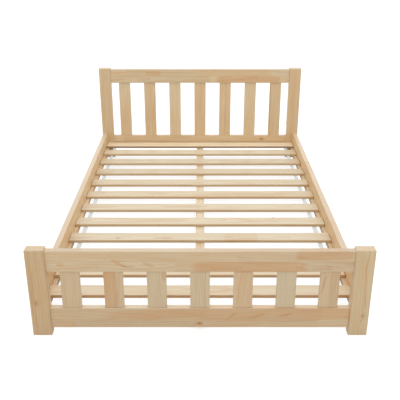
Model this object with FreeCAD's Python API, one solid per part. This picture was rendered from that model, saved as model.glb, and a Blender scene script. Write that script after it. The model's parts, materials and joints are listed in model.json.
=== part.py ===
import FreeCAD, Part
import math
import os

# Kids bed: a low frame of planed pine. Two slatted boards stand at the head and the foot, two side rails
# hook into their posts, and cross slats lie on a ledger along each side rail and on a beam down the middle.
#
# The origin is on the floor, in the middle of the bed. X runs across the bed, Y from the foot to the head
# and Z up. Left is the side of negative X. All values are in millimetres.

Vector = FreeCAD.Vector

# The mattress that the bed is built round, with the room left beside it and at each end
mattress_width = 1200.0
mattress_length = 1950.0
mattress_side_gap = 5.5
mattress_end_gap = 2.0

# Posts
post_width = 72.0
post_depth = 40.0
headboard_post_height = 590.0
footboard_post_height = 366.0
post_edge_radius = 3.0
post_top_chamfer = 2.0
post_foot_chamfer = 2.0

# Rails of the headboard and the footboard
end_rail_height = 86.0
end_rail_thickness = 26.0
end_rail_edge_radius = 2.5
top_rail_drop = 6.0
footboard_rail_lift = 31.0

# Side rails; the headboard's bottom rail stands as high off the floor as they do
side_rail_height = 106.0
side_rail_thickness = 26.0
side_rail_edge_radius = 2.5
side_rail_lift = 62.0
side_rail_reveal = 6.0

# Upright slats of the two boards
board_slat_count = 7
board_slat_width = 72.0
board_slat_thickness = 15.0
board_slat_end_gap = 48.0
board_slat_chamfer = 1.2

# Tenons of the end rails in the posts, and of the upright slats in the end rails
rail_tenon_thickness = 14.0
rail_tenon_length = 34.0
rail_tenon_shoulder = 12.0
slat_tenon_thickness = 9.0
slat_tenon_length = 14.0
slat_tenon_shoulder = 8.0

# Cross slats, and the bays between them: closer at both ends than in the middle
foot_bay_count = 3
foot_bay_pitch = 157.0
middle_bay_count = 7
head_bay_pitch = 147.0
foot_slat_gap = 81.0
head_slat_gap = 1.0
bed_slat_width = 76.0
bed_slat_thickness = 14.0
bed_slat_end_gap = 2.0
bed_slat_chamfer = 1.5

# Ledgers along the side rails
ledger_width = 18.0
ledger_height = 22.0
ledger_rise = 6.0
ledger_end_gap = 3.0
ledger_chamfer = 1.5
bays_per_screw_count = 2

# Centre beam with a stub tenon at each end, and its leg
beam_width = 40.0
beam_height = 30.0
beam_chamfer = 2.0
beam_tenon_width = 24.0
beam_tenon_length = 12.0
beam_tenon_shoulder = 6.0
leg_side = 40.0
leg_chamfer = 3.0

# Dowel pins that locate the cross slats, and the dowel on top of the leg
slat_pin_radius = 3.0
slat_pin_in_slat = 6.5
slat_pin_in_ledger = 9.0
leg_dowel_radius = 5.0
leg_dowel_length = 28.0
pin_chamfer = 0.8

# Plates that join the side rails to the posts: a hook on the rail, a slotted keeper on the post
plate_height = 80.0
plate_width = 18.0
plate_thickness = 2.5
plate_corner_chamfer = 3.0
plate_screw_margin = 7.0
hook_thickness = 3.5
hook_root = 22.0
hook_lip = 8.0
hook_nose = 3.5
hook_lead = 2.0
hook_headroom = 1.0
pocket_spare = 2.0

# Countersunk screws: the radius of the head, the depth of its cone, the radius of the shank, the point
screw_head_radius = 3.8
screw_head_depth = 2.3
screw_shank_radius = 2.0
screw_point = 5.0
screw_tip_radius = 0.5
plate_screw_length = 28.0
ledger_screw_length = 36.0

# Screws, pins and their holes have this many flats round them
flat_count = 8

# Clearances: round a joint, at the blind end of one, and how far a cut runs past a face
fit_gap = 0.2
blind_gap = 1.0
overrun = 5.0

# Places worked out from the sizes above
half = 0.5
clear_width = mattress_width + mattress_side_gap + mattress_side_gap
clear_length = mattress_length + mattress_end_gap + mattress_end_gap
rail_inner_x = half * clear_width
rail_outer_x = rail_inner_x + side_rail_thickness
rail_mid_x = half * (rail_inner_x + rail_outer_x)
post_outer_x = rail_outer_x + side_rail_reveal
post_inner_x = post_outer_x - post_width
post_face_y = half * clear_length
board_y = post_face_y + half * post_depth
end_rail_face_y = board_y - half * end_rail_thickness
rail_tenon_height = end_rail_height - rail_tenon_shoulder - rail_tenon_shoulder
slat_tenon_width = board_slat_width - slat_tenon_shoulder - slat_tenon_shoulder
ledger_bottom = side_rail_lift + ledger_rise
ledger_top = ledger_bottom + ledger_height
ledger_inner_x = rail_inner_x - ledger_width
bed_slat_end_x = rail_inner_x - bed_slat_end_gap
slat_pin_x = half * (ledger_inner_x + bed_slat_end_x)
beam_bottom = ledger_top - beam_height
plate_mid_z = side_rail_lift + half * side_rail_height
slot_height = hook_root + hook_lip + hook_headroom
hook_seat_z = plate_mid_z - half * (slot_height - hook_lip)


def block(xs, ys, zs):
    """A box between two places along each axis, given in either order."""
    low = Vector(min(xs), min(ys), min(zs))
    return Part.makeBox(max(xs) - min(xs), max(ys) - min(ys), max(zs) - min(zs), low)


def ring(centre, way, radius):
    """The corners of a regular outline round an axis along X, Y or Z, from the radius to its flats."""
    turn = 2 * math.pi / flat_count
    aside = Vector(way.y, way.z, way.x)
    across = way.cross(aside)
    reach = radius / math.cos(half * turn)
    angles = [turn * (index + half) for index in range(flat_count)]
    return [centre + (aside * math.cos(angle) + across * math.sin(angle)) * reach for angle in angles]


def turned(start, way, profile):
    """A small turned solid along an axis, from pairs of a distance along it and the radius there."""
    rings = [ring(start + way * distance, way, radius) for distance, radius in profile]
    outlines = [rings[0], rings[-1]]
    for near, far in zip(rings, rings[1:]):
        for index in range(flat_count):
            outlines.append([near[index - 1], near[index], far[index], far[index - 1]])
    faces = [Part.Face(Part.makePolygon(outline + outline[:1])) for outline in outlines]
    solid = Part.makeSolid(Part.makeShell(faces))
    if solid.Volume < 0:
        solid.reverse()
    return solid


def edges_along(shape, axis):
    """The straight edges of a shape that run along one axis."""
    found = []
    for edge in shape.Edges:
        if isinstance(edge.Curve, Part.Line) and abs(edge.tangentAt(edge.FirstParameter).dot(axis)) > half:
            found.append(edge)
    return found


def edges_at_height(shape, height):
    """The edges of a shape that lie level at one height."""
    return [edge for edge in shape.Edges if level_at(edge.BoundBox, height)]


def level_at(bounds, height):
    """Whether a bounding box is flat and lies at one height."""
    return abs(bounds.ZMin - height) < fit_gap and abs(bounds.ZMax - height) < fit_gap


def rounded(plain, grain, radius):
    """A planed board whose four edges along the grain are rounded."""
    return plain.makeFillet(radius, edges_along(plain, grain))


def chamfered(plain, grain, size):
    """A piece whose four edges along the grain are chamfered."""
    return plain.makeChamfer(size, edges_along(plain, grain))


def mirrored(shape):
    """The same piece for the other side of the bed."""
    return shape.mirror(Vector(0, 0, 0), Vector(1, 0, 0))


def screw_profile(length, gap):
    """A countersunk screw's outline from the flat of its head to its tip, grown by a gap."""
    return [
        (0, screw_head_radius + gap),
        (screw_head_depth, screw_shank_radius + gap),
        (length - screw_point, screw_shank_radius + gap),
        (length + gap, screw_tip_radius + gap),
    ]


def screw(seat, way, length):
    """A countersunk screw with the flat of its head at the seat."""
    return turned(seat, way, screw_profile(length, 0))


def screw_hole(seat, way, length):
    """The countersunk hole that clears a screw, open in front of its head."""
    mouth = [(-overrun, screw_head_radius + fit_gap)]
    return turned(seat, way, mouth + screw_profile(length, fit_gap))


def pin(start, way, length, radius):
    """A dowel pin with chamfered ends."""
    narrow = radius - pin_chamfer
    profile = [(0, narrow), (pin_chamfer, radius), (length - pin_chamfer, radius), (length, narrow)]
    return turned(start, way, profile)


def pin_hole(start, way, length, radius):
    """The hole that clears a dowel pin, with room at both ends."""
    return turned(start, way, [(-blind_gap, radius + fit_gap), (length + blind_gap, radius + fit_gap)])


def bed_slat_places():
    """The middle of each cross slat along Y, from the foot to the head."""
    first = -post_face_y + foot_slat_gap + half * bed_slat_width
    last = post_face_y - head_slat_gap - half * bed_slat_width
    middle_pitch = (last - first - foot_bay_count * foot_bay_pitch - head_bay_pitch) / middle_bay_count
    pitches = [foot_bay_pitch] * foot_bay_count + [middle_pitch] * middle_bay_count + [head_bay_pitch]
    places = [first]
    for pitch in pitches:
        places.append(places[-1] + pitch)
    return places


def board_slat_places():
    """The middle of each upright slat along X, evenly spaced between the posts."""
    first = -post_inner_x + board_slat_end_gap + half * board_slat_width
    pitch = (-first - first) / (board_slat_count - 1)
    return [first + index * pitch for index in range(board_slat_count)]


def ledger_screw_places():
    """Every second bay between the cross slats has a ledger screw in its middle."""
    slats = bed_slat_places()
    middles = [half * (before + after) for before, after in zip(slats, slats[1:])]
    return middles[::bays_per_screw_count]


def end_rail(side, bottom):
    """A rail of the headboard or footboard, with a shouldered tenon at each end."""
    y = side * board_y
    top = bottom + end_rail_height
    thickness = (y - half * end_rail_thickness, y + half * end_rail_thickness)
    plain = block((-post_inner_x, post_inner_x), thickness, (bottom, top))
    body = rounded(plain, Vector(1, 0, 0), end_rail_edge_radius)
    reach = post_inner_x + rail_tenon_length
    tongue_ys = (y - half * rail_tenon_thickness, y + half * rail_tenon_thickness)
    tongue = block((-reach, reach), tongue_ys, (bottom + rail_tenon_shoulder, top - rail_tenon_shoulder))
    return body.fuse(tongue).removeSplitter()


def slat_mortises(side, mouth, way):
    """Blind mortises for the upright slats, sunk from the rail edge at height mouth, up or down."""
    depth = slat_tenon_length + blind_gap
    across = half * slat_tenon_thickness + fit_gap
    along = half * slat_tenon_width + fit_gap
    y = side * board_y
    heights = (mouth - way * overrun, mouth + way * depth)
    cuts = [block((x - along, x + along), (y - across, y + across), heights) for x in board_slat_places()]
    return cuts[0].fuse(cuts[1:])


def board_slat(side, x, bottom, top):
    """An upright slat between two rails, with a shouldered tenon at each end."""
    y = side * board_y
    xs = (x - half * board_slat_width, x + half * board_slat_width)
    ys = (y - half * board_slat_thickness, y + half * board_slat_thickness)
    body = chamfered(block(xs, ys, (bottom, top)), Vector(0, 0, 1), board_slat_chamfer)
    tongue_xs = (x - half * slat_tenon_width, x + half * slat_tenon_width)
    tongue_ys = (y - half * slat_tenon_thickness, y + half * slat_tenon_thickness)
    tongue = block(tongue_xs, tongue_ys, (bottom - slat_tenon_length, top + slat_tenon_length))
    return body.fuse(tongue).removeSplitter()


def rail_mortise(side, bottom):
    """The blind mortise in the right-hand post for the tenon of an end rail."""
    y = side * board_y
    across = half * rail_tenon_thickness + fit_gap
    low = bottom + rail_tenon_shoulder - fit_gap
    depth = rail_tenon_length + blind_gap
    xs = (post_inner_x - overrun, post_inner_x + depth)
    return block(xs, (y - across, y + across), (low, low + rail_tenon_height + fit_gap + fit_gap))


def plate_screw_heights():
    """Each joint plate has a screw near its top and one near its bottom."""
    reach = half * plate_height - plate_screw_margin
    return [plate_mid_z - reach, plate_mid_z + reach]


def plate_blank(face, way, grow=0):
    """A plate let in flush: its outer face at Y face, its thickness going on in the direction way."""
    xs = (rail_mid_x - half * plate_width - grow, rail_mid_x + half * plate_width + grow)
    zs = (plate_mid_z - half * plate_height - grow, plate_mid_z + half * plate_height + grow)
    plain = block(xs, (face, face + way * plate_thickness), zs)
    return chamfered(plain, Vector(0, 1, 0), plate_corner_chamfer)


def keeper_plate(side):
    """The slotted plate let into a right-hand post, which the hook drops over."""
    face = side * post_face_y
    slot_half = half * hook_thickness + fit_gap
    slot_ys = (face - side * overrun, face + side * (plate_thickness + overrun))
    slot_zs = (hook_seat_z, hook_seat_z + slot_height)
    slot = block((rail_mid_x - slot_half, rail_mid_x + slot_half), slot_ys, slot_zs)
    plate = plate_blank(face, side).cut(slot)
    for z in plate_screw_heights():
        plate = plate.cut(screw_hole(Vector(rail_mid_x, face, z), Vector(0, side, 0), plate_screw_length))
    return plate


def hook_plate(side):
    """The plate let into a rail end, with a hook that reaches through the keeper and hangs behind it."""
    face = side * post_face_y
    lip = face + side * (plate_thickness + fit_gap)
    nose = lip + side * hook_nose
    lead = side * hook_lead
    top = hook_seat_z + hook_root
    low = hook_seat_z - hook_lip
    root = face - side * half * plate_thickness
    places = [
        (root, hook_seat_z),
        (lip, hook_seat_z),
        (lip, low + hook_lead),
        (lip + half * lead, low),
        (nose, low),
        (nose, top - hook_lead),
        (nose - lead, top),
        (root, top),
    ]
    outline = [Vector(rail_mid_x - half * hook_thickness, y, z) for y, z in places]
    hook = Part.Face(Part.makePolygon(outline + outline[:1])).extrude(Vector(hook_thickness, 0, 0))
    plate = plate_blank(face, -side)
    for z in plate_screw_heights():
        plate = plate.cut(screw_hole(Vector(rail_mid_x, face, z), Vector(0, -side, 0), plate_screw_length))
    return plate.fuse(hook).removeSplitter()


def keeper_recess(side):
    """What is cut from a right-hand post for its keeper: recess, pocket behind it and screw holes."""
    face = side * post_face_y
    pocket_half = half * hook_thickness + pocket_spare
    depth = plate_thickness + fit_gap + hook_nose + pocket_spare
    low = hook_seat_z - hook_lip - hook_headroom
    pocket_xs = (rail_mid_x - pocket_half, rail_mid_x + pocket_half)
    pocket = block(pocket_xs, (face, face + side * depth), (low, hook_seat_z + slot_height))
    holes = [screw_hole(Vector(rail_mid_x, face, z), Vector(0, side, 0), plate_screw_length)
             for z in plate_screw_heights()]
    return plate_blank(face, side, fit_gap).fuse([pocket] + holes)


def hook_recess(side):
    """What is cut from the end of the right-hand side rail for its hook plate."""
    face = side * post_face_y
    holes = [screw_hole(Vector(rail_mid_x, face, z), Vector(0, -side, 0), plate_screw_length)
             for z in plate_screw_heights()]
    return plate_blank(face, -side, fit_gap).fuse(holes)


def plate_screws(side, way):
    """The two screws of one joint plate on the right-hand side of the bed."""
    face = side * post_face_y
    return [screw(Vector(rail_mid_x, face, z), Vector(0, way, 0), plate_screw_length)
            for z in plate_screw_heights()]


def post(side, height, rail_bottoms):
    """A right-hand post, with its edges eased, a mortise for each rail and the recess for the keeper."""
    ys = (side * post_face_y, side * (post_face_y + post_depth))
    plain = block((post_inner_x, post_outer_x), ys, (0, height))
    eased = rounded(plain, Vector(0, 0, 1), post_edge_radius)
    topped = eased.makeChamfer(post_top_chamfer, edges_at_height(eased, height))
    standing = topped.makeChamfer(post_foot_chamfer, edges_at_height(topped, 0))
    cuts = [rail_mortise(side, bottom) for bottom in rail_bottoms]
    return standing.cut(cuts[0].fuse(cuts[1:] + [keeper_recess(side)]))


def side_rail():
    """The right-hand side rail between the posts, recessed at its ends, with holes for the ledger screws."""
    zs = (side_rail_lift, side_rail_lift + side_rail_height)
    ys = (-post_face_y, post_face_y)
    rail = rounded(block((rail_inner_x, rail_outer_x), ys, zs), Vector(0, 1, 0), side_rail_edge_radius)
    return rail.cut(hook_recess(-1).fuse([hook_recess(1)] + ledger_screw_holes()))


def ledger_screw_seats():
    """Where the heads of the right-hand ledger's screws sit, halfway up its inner face."""
    z = half * (ledger_bottom + ledger_top)
    return [Vector(ledger_inner_x, y, z) for y in ledger_screw_places()]


def ledger_screw_holes():
    """The holes for the screws that fix the right-hand ledger."""
    return [screw_hole(seat, Vector(1, 0, 0), ledger_screw_length) for seat in ledger_screw_seats()]


def slat_pin_feet():
    """The lower end of each pin between the right-hand ledger and the cross slats."""
    return [Vector(slat_pin_x, y, ledger_top - slat_pin_in_ledger) for y in bed_slat_places()]


def slat_pin_hole(foot):
    """The hole for one slat pin, through the ledger's top into the slat above."""
    return pin_hole(foot, Vector(0, 0, 1), slat_pin_in_ledger + slat_pin_in_slat, slat_pin_radius)


def ledger():
    """The right-hand ledger: it carries the slats along the inner face of the side rail."""
    ys = (-post_face_y + ledger_end_gap, post_face_y - ledger_end_gap)
    plain = block((ledger_inner_x, rail_inner_x), ys, (ledger_bottom, ledger_top))
    bar = chamfered(plain, Vector(0, 1, 0), ledger_chamfer)
    holes = ledger_screw_holes() + [slat_pin_hole(foot) for foot in slat_pin_feet()]
    return bar.cut(holes[0].fuse(holes[1:]))


def bed_slat(index):
    """A cross slat, with a blind pin hole over each ledger."""
    y = bed_slat_places()[index]
    ys = (y - half * bed_slat_width, y + half * bed_slat_width)
    zs = (ledger_top, ledger_top + bed_slat_thickness)
    plain = block((-bed_slat_end_x, bed_slat_end_x), ys, zs)
    slat = chamfered(plain, Vector(1, 0, 0), bed_slat_chamfer)
    hole = slat_pin_hole(slat_pin_feet()[index])
    return slat.cut(hole.fuse(mirrored(hole)))


def beam_tongue(length, gap):
    """The bar that runs on as a stub tenon at both ends of the beam, grown by a gap."""
    across = half * beam_tenon_width + gap
    reach = end_rail_face_y + length
    zs = (beam_bottom + beam_tenon_shoulder - gap, ledger_top - beam_tenon_shoulder + gap)
    return block((-across, across), (-reach, reach), zs)


def centre_beam():
    """The beam between the two bottom rails, with a stub tenon at each end and a dowel hole for its leg."""
    xs = (-half * beam_width, half * beam_width)
    plain = block(xs, (-end_rail_face_y, end_rail_face_y), (beam_bottom, ledger_top))
    body = chamfered(plain, Vector(0, 1, 0), beam_chamfer)
    return body.fuse(beam_tongue(beam_tenon_length, 0)).removeSplitter().cut(leg_dowel_hole())


def leg_dowel_foot():
    """The lower end of the dowel between the leg and the beam."""
    return Vector(0, 0, beam_bottom - half * leg_dowel_length)


def leg_dowel_hole():
    """The hole for the dowel between the leg and the beam."""
    return pin_hole(leg_dowel_foot(), Vector(0, 0, 1), leg_dowel_length, leg_dowel_radius)


def beam_leg():
    """The leg under the middle of the beam."""
    xs = (-half * leg_side, half * leg_side)
    leg = chamfered(block(xs, xs, (0, beam_bottom)), Vector(0, 0, 1), leg_chamfer)
    return leg.makeChamfer(post_foot_chamfer, edges_at_height(leg, 0)).cut(leg_dowel_hole())


def bottom_rail(side, bottom):
    """A bottom rail, with mortises in its top edge and one in its inner face for the beam."""
    mortises = slat_mortises(side, bottom + end_rail_height, -1)
    return end_rail(side, bottom).cut(mortises.fuse(beam_tongue(beam_tenon_length + blind_gap, fit_gap)))


def top_rail(side, bottom):
    """A top rail, with mortises in its bottom edge."""
    return end_rail(side, bottom).cut(slat_mortises(side, bottom, 1))


def save(name, pieces):
    """Write one node, after a check that each of its solids is sound."""
    shape = pieces[0] if len(pieces) == 1 else Part.makeCompound(pieces)
    if not shape.isValid() or len(shape.Solids) != len(pieces):
        raise ValueError("unsound shape: " + name)
    shape.exportStep("parts/" + name + ".step")
    print(name, len(pieces), "solid(s),", round(shape.Volume), "mm3")


def build_end(name, side, post_height, bottom_rail_lift):
    """A whole headboard or footboard: two posts, two rails and the upright slats between them."""
    top_rail_lift = post_height - top_rail_drop - end_rail_height
    right_post = post(side, post_height, [bottom_rail_lift, top_rail_lift])
    save(name + "_post_right", [right_post])
    save(name + "_post_left", [mirrored(right_post)])
    save(name + "_bottom_rail", [bottom_rail(side, bottom_rail_lift)])
    save(name + "_top_rail", [top_rail(side, top_rail_lift)])
    for index, x in enumerate(board_slat_places()):
        slat = board_slat(side, x, bottom_rail_lift + end_rail_height, top_rail_lift)
        save(name + "_slat_" + str(index + 1), [slat])


def build_sides():
    """The side rails, the ledgers, the joint plates and their screws."""
    for name, shape in (("side_rail", side_rail()), ("slat_ledger", ledger())):
        save(name + "_right", [shape])
        save(name + "_left", [mirrored(shape)])
    screws = []
    for end, side in (("foot", -1), ("head", 1)):
        for name, shape in (("rail_hook_plate", hook_plate(side)), ("post_keeper_plate", keeper_plate(side))):
            save(name + "_" + end + "_right", [shape])
            save(name + "_" + end + "_left", [mirrored(shape)])
        screws += plate_screws(side, side) + plate_screws(side, -side)
    save("joint_plate_screws", screws + [mirrored(shape) for shape in screws])
    fixings = [screw(seat, Vector(1, 0, 0), ledger_screw_length) for seat in ledger_screw_seats()]
    save("ledger_screws", fixings + [mirrored(shape) for shape in fixings])


def build_base():
    """The cross slats with their pins, and the beam with its leg."""
    for index in range(len(bed_slat_places())):
        save("bed_slat_" + format(index + 1, "02d"), [bed_slat(index)])
    pin_length = slat_pin_in_ledger + slat_pin_in_slat
    pins = [pin(foot, Vector(0, 0, 1), pin_length, slat_pin_radius) for foot in slat_pin_feet()]
    save("slat_pins", pins + [mirrored(shape) for shape in pins])
    save("centre_beam", [centre_beam()])
    save("beam_leg", [beam_leg()])
    save("leg_dowel", [pin(leg_dowel_foot(), Vector(0, 0, 1), leg_dowel_length, leg_dowel_radius)])


os.makedirs("parts", exist_ok=True)
build_end("headboard", 1, headboard_post_height, side_rail_lift)
build_end("footboard", -1, footboard_post_height, footboard_rail_lift)
build_sides()
build_base()
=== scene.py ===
# %% [markdown]
# # A low bed in planed pine
#
# The bed is a kit of boards: posts, rails and slats sawn from pine, planed, glued up from narrow strips and
# sealed with a thin clear lacquer. The frame that this lesson starts from holds every board at its real
# size and place. What is left to make is what the eye reads as wood: the growth rings, the glued strips, the
# knots and the soft gleam of the lacquer. Then come the steel fixings and the tapes under the slats.

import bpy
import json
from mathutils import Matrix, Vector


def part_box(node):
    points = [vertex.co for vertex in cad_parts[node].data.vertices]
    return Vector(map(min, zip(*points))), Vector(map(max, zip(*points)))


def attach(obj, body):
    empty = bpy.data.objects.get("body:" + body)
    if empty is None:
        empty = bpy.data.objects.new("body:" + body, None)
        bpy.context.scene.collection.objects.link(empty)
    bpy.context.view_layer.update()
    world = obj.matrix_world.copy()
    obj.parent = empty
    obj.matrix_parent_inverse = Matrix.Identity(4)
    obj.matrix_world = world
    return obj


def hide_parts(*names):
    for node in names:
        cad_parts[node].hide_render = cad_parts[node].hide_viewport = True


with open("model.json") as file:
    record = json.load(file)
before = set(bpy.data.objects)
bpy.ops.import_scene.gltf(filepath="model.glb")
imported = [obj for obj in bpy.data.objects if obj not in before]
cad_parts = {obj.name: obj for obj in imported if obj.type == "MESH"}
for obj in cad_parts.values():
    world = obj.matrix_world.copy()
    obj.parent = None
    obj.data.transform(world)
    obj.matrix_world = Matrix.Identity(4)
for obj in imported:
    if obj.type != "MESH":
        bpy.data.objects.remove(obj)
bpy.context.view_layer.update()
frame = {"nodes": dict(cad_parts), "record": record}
print("boards and fixings:", len(frame["nodes"]))

# %% The other modules
import json
import math

import bmesh
import bpy
from mathutils import Matrix, Vector

MM = 0.001

# %% [markdown]
# ## Helpers
#
# Colours are given as sRGB hex values, as on a colour chart, but a renderer adds light in linear
# numbers, so one function turns the first into the second. A second function adds a node to a node tree,
# sets its properties, fills or links its inputs, and gives back its outputs, so that the next node can take
# one of them. With it a whole material reads from top to bottom. The names of most nodes start with
# ShaderNode, those of Geometry Nodes' sums too, so the function puts that before a short name.


# %% Colour and node helpers
def linear(hex_colour):
    """An sRGB hex colour as linear red, green, blue and alpha."""
    channels = [int(hex_colour[place:place + 2], 16) / 255 for place in (0, 2, 4)]
    bright = [((c + 0.055) / 1.055) ** 2.4 if c > 0.04045 else c / 12.92 for c in channels]
    return (*bright, 1.0)


def add(tree, kind, inputs=None, **settings):
    """Add a node with its properties and its inputs, which are values or links, and return its outputs."""
    node = tree.nodes.new(kind if "Node" in kind else "ShaderNode" + kind)
    for name, value in settings.items():
        setattr(node, name, value)
    for key, value in (inputs or {}).items():
        if isinstance(value, bpy.types.NodeSocket):
            tree.links.new(value, node.inputs[key])
        else:
            node.inputs[key].default_value = value
    return node.outputs


# %% [markdown]
# Three more functions take up what repeats: one starts a material, one a node group with its sockets, and
# one puts a mesh, a lamp or a camera into the scene.


# %% Start a material, a node group or an object
def new_material(name):
    """A material with an empty node tree, and that tree."""
    material = bpy.data.materials.new(name)
    material.use_nodes = True
    material.node_tree.nodes.clear()
    return material, material.node_tree


def new_group(name, kind, inputs, outputs):
    """A node group and what its inputs give. A default of None makes a socket for geometry."""
    group = bpy.data.node_groups.new(name, kind)
    for label, value in inputs.items():
        carries = {float: "Float", tuple: "Vector"}.get(type(value), "Geometry")
        socket = group.interface.new_socket(label, in_out="INPUT", socket_type="NodeSocket" + carries)
        if value is not None:
            socket.default_value = value
    for label, carries in outputs.items():
        group.interface.new_socket(label, in_out="OUTPUT", socket_type="NodeSocket" + carries)
    print(name, "takes:", ", ".join(inputs))
    return group, add(group, "NodeGroupInput")


def show(name, data):
    """An object with its data, linked into the scene."""
    thing = bpy.data.objects.new(name, data)
    bpy.context.scene.collection.objects.link(thing)
    return thing


# %% [markdown]
# ## How pine looks, and why
#
# A pine grows one ring a year: a broad pale band in spring, then a thin amber line in late summer. Sawn
# along the trunk, the rings show as long lines, and where the saw grazes them they open into flames. So the
# honest way to draw the grain is in space: rings round the pith of a tree, in which the board is a cut. The
# faces, the edges and the end grain of one board then agree, as they do on the real one.
#
# The rings live in one node group that every board shares. It reads a place on the board, in metres: along
# the grain, across the board's width and through its thickness.

# %% Start the node group of the grain
cut_inputs = {
    "Place": (0, 0, 0), "Facing": (0, 0, 1), "Pith": (0, 0, 0), "Ring width": 6 * MM, "Ring strength": 0.45,
    "Strip width": 40 * MM, "Strip shift": 0.0, "Block length": 420 * MM, "Seed": 1.0, "Warmth": 0.2,
    "Luck": 0.25, "Paleness": 0.0, "Tone": 1.0, "Amber": 0.0, "Resin and painted shade": 0.0,
    "Knot": (9, 9, 0), "Knot radius": 5 * MM, "Knot strength": 0.85,
}
grain_gives = {"Colour": "Color", "Roughness": "Float", "Relief": "Float"}
grain, ask = new_group("pine_cut_along_the_grain", "ShaderNodeTree", cut_inputs, grain_gives)
place = add(grain, "SeparateXYZ", {0: ask["Place"]})

# %% [markdown]
# ### Strips and finger joints
#
# Boards like these are glued up: narrow strips side by side, and each strip is a run of shorter blocks
# joined end to end by finger joints. Every block comes from another tree, so its tone and its rings differ.
# Rounding the place down to whole strips and whole blocks gives each block a number, and a white noise
# turns that number into a colour that is the same all over the block. A zigzag added to the length before
# the rounding cuts the fingers.

# %% Number the blocks of a glued-up board
finger_pitch = 6.4 * MM
finger_depth = 11 * MM
shifted = add(grain, "Math", {0: place["Y"], 1: ask["Strip shift"]}, operation="ADD")
strips = add(grain, "Math", {0: shifted[0], 1: ask["Strip width"]}, operation="DIVIDE")
strip = add(grain, "Math", {0: strips[0]}, operation="FLOOR")
strip_key = add(grain, "CombineXYZ", {"X": strip[0], "Y": ask["Seed"]})
strip_luck = add(grain, "TexWhiteNoise", {"Vector": strip_key[0]}, noise_dimensions="3D")
zigzag = add(grain, "Math", {0: place["Y"], 1: finger_pitch / 2}, operation="PINGPONG")
steep = 2 * finger_depth / finger_pitch
fingers = add(grain, "Math", {0: zigzag[0], 1: steep, 2: place["X"]}, operation="MULTIPLY_ADD")
block = add(grain, "Math", {0: fingers[0], 1: ask["Block length"]}, operation="DIVIDE")
block = add(grain, "Math", {0: block[0], 1: strip_luck["Value"]}, operation="ADD")
block = add(grain, "Math", {0: block[0]}, operation="FLOOR")
block_key = add(grain, "CombineXYZ", {"X": strip[0], "Y": block[0], "Z": ask["Seed"]})
luck = add(grain, "TexWhiteNoise", {"Vector": block_key[0]}, noise_dimensions="3D")
lucks = add(grain, "SeparateColor", {0: luck["Color"]})

# %% [markdown]
# A real glue line is a tenth of a millimetre wide, and shows because the two strips meet there with a slight
# step that holds a shadow. It is drawn a little over a millimetre wide, so that it shows.

# %% Find the glue lines
glue_line = 1.2 * MM
beside = add(grain, "Math", {0: strips[0]}, operation="FRACT")
beside = add(grain, "Math", {0: beside[0], 1: 0.5}, operation="PINGPONG")
beside = add(grain, "Math", {0: beside[0], 1: ask["Strip width"]}, operation="MULTIPLY")
edge = {"Value": beside[0], "From Max": glue_line, "To Min": 0.3, "To Max": 0.0}
glue = add(grain, "MapRange", edge, interpolation_type="SMOOTHSTEP")

# %% [markdown]
# ### Growth rings
#
# The distance of a place from the pith, divided by the ring's width, counts the rings. Three things keep
# that from looking like a target. The trunk wanders, so a slow noise moves the pith about. It tapers, so
# the count creeps up along the board, which opens the rings into flames. And near a knot the rings bow
# round it. Each block also starts at its own place in its own tree.

# %% Give every block its own place in a tree
spread = (3.0, 50 * MM, 30 * MM)
own = add(grain, "VectorMath", {0: luck["Color"], 1: spread, 2: ask["Place"]}, operation="MULTIPLY_ADD")
wander_size = (380 * MM, 100 * MM, 100 * MM)
wander_depth = 13 * MM
slow = add(grain, "VectorMath", {0: own[0], 1: wander_size}, operation="DIVIDE")
slow = add(grain, "TexNoise", {"Vector": slow[0], "Scale": 1.0, "Detail": 1.5, "Roughness": 0.4})
bent = {0: slow["Color"], 1: (0, 2 * wander_depth, 2 * wander_depth), 2: own[0]}
bent = add(grain, "VectorMath", bent, operation="MULTIPLY_ADD")
from_pith = add(grain, "VectorMath", {0: bent[0], 1: ask["Pith"]}, operation="SUBTRACT")
from_pith = add(grain, "VectorMath", {0: from_pith[0], 1: (0, 1, 1)}, operation="MULTIPLY")
radius = add(grain, "VectorMath", {0: from_pith[0]}, operation="LENGTH")
trunk_taper = 14 * MM
tapered = add(grain, "Math", {0: place["X"], 1: trunk_taper, 2: radius["Value"]}, operation="MULTIPLY_ADD")

# %% Bow the rings round the knot
knot_reach = (34 * MM, 9 * MM, 1.0)
knot_push = 9 * MM
to_knot = add(grain, "VectorMath", {0: ask["Place"], 1: ask["Knot"]}, operation="SUBTRACT")
to_knot = add(grain, "VectorMath", {0: to_knot[0], 1: (1, 1, 0)}, operation="MULTIPLY")
bow = add(grain, "VectorMath", {0: to_knot[0], 1: knot_reach}, operation="DIVIDE")
bow = add(grain, "VectorMath", {0: bow[0], 1: bow[0]}, operation="DOT_PRODUCT")
bow = add(grain, "Math", {0: bow["Value"], 1: -1.0}, operation="MULTIPLY")
bow = add(grain, "Math", {0: bow[0]}, operation="EXPONENT")
bowed = add(grain, "Math", {0: bow[0], 1: knot_push, 2: tapered[0]}, operation="MULTIPLY_ADD")

# %% Count the rings and draw the summer wood
uneven_scale = 0.37
uneven_depth = 2.4
rings = add(grain, "Math", {0: bowed[0], 1: ask["Ring width"]}, operation="DIVIDE")
uneven = add(grain, "TexNoise", {"W": rings[0], "Scale": uneven_scale, "Detail": 1.0}, noise_dimensions="1D")
rings = add(grain, "Math", {0: uneven["Fac"], 1: uneven_depth, 2: rings[0]}, operation="MULTIPLY_ADD")
year = add(grain, "Math", {0: rings[0]}, operation="FRACT")
summer = add(grain, "ValToRGB", {0: year[0]})
ramp = summer[0].node.color_ramp
ramp.interpolation = "EASE"
ramp.elements[0].color = (0.0, 0.0, 0.0, 1)
ramp.elements[1].position = 0.98
ramp.elements[1].color = (0.05, 0.05, 0.05, 1)
for position, level in ((0.45, 0.12), (0.72, 0.45), (0.88, 1.0)):
    ramp.elements.new(position).color = (level, level, level, 1)

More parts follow.
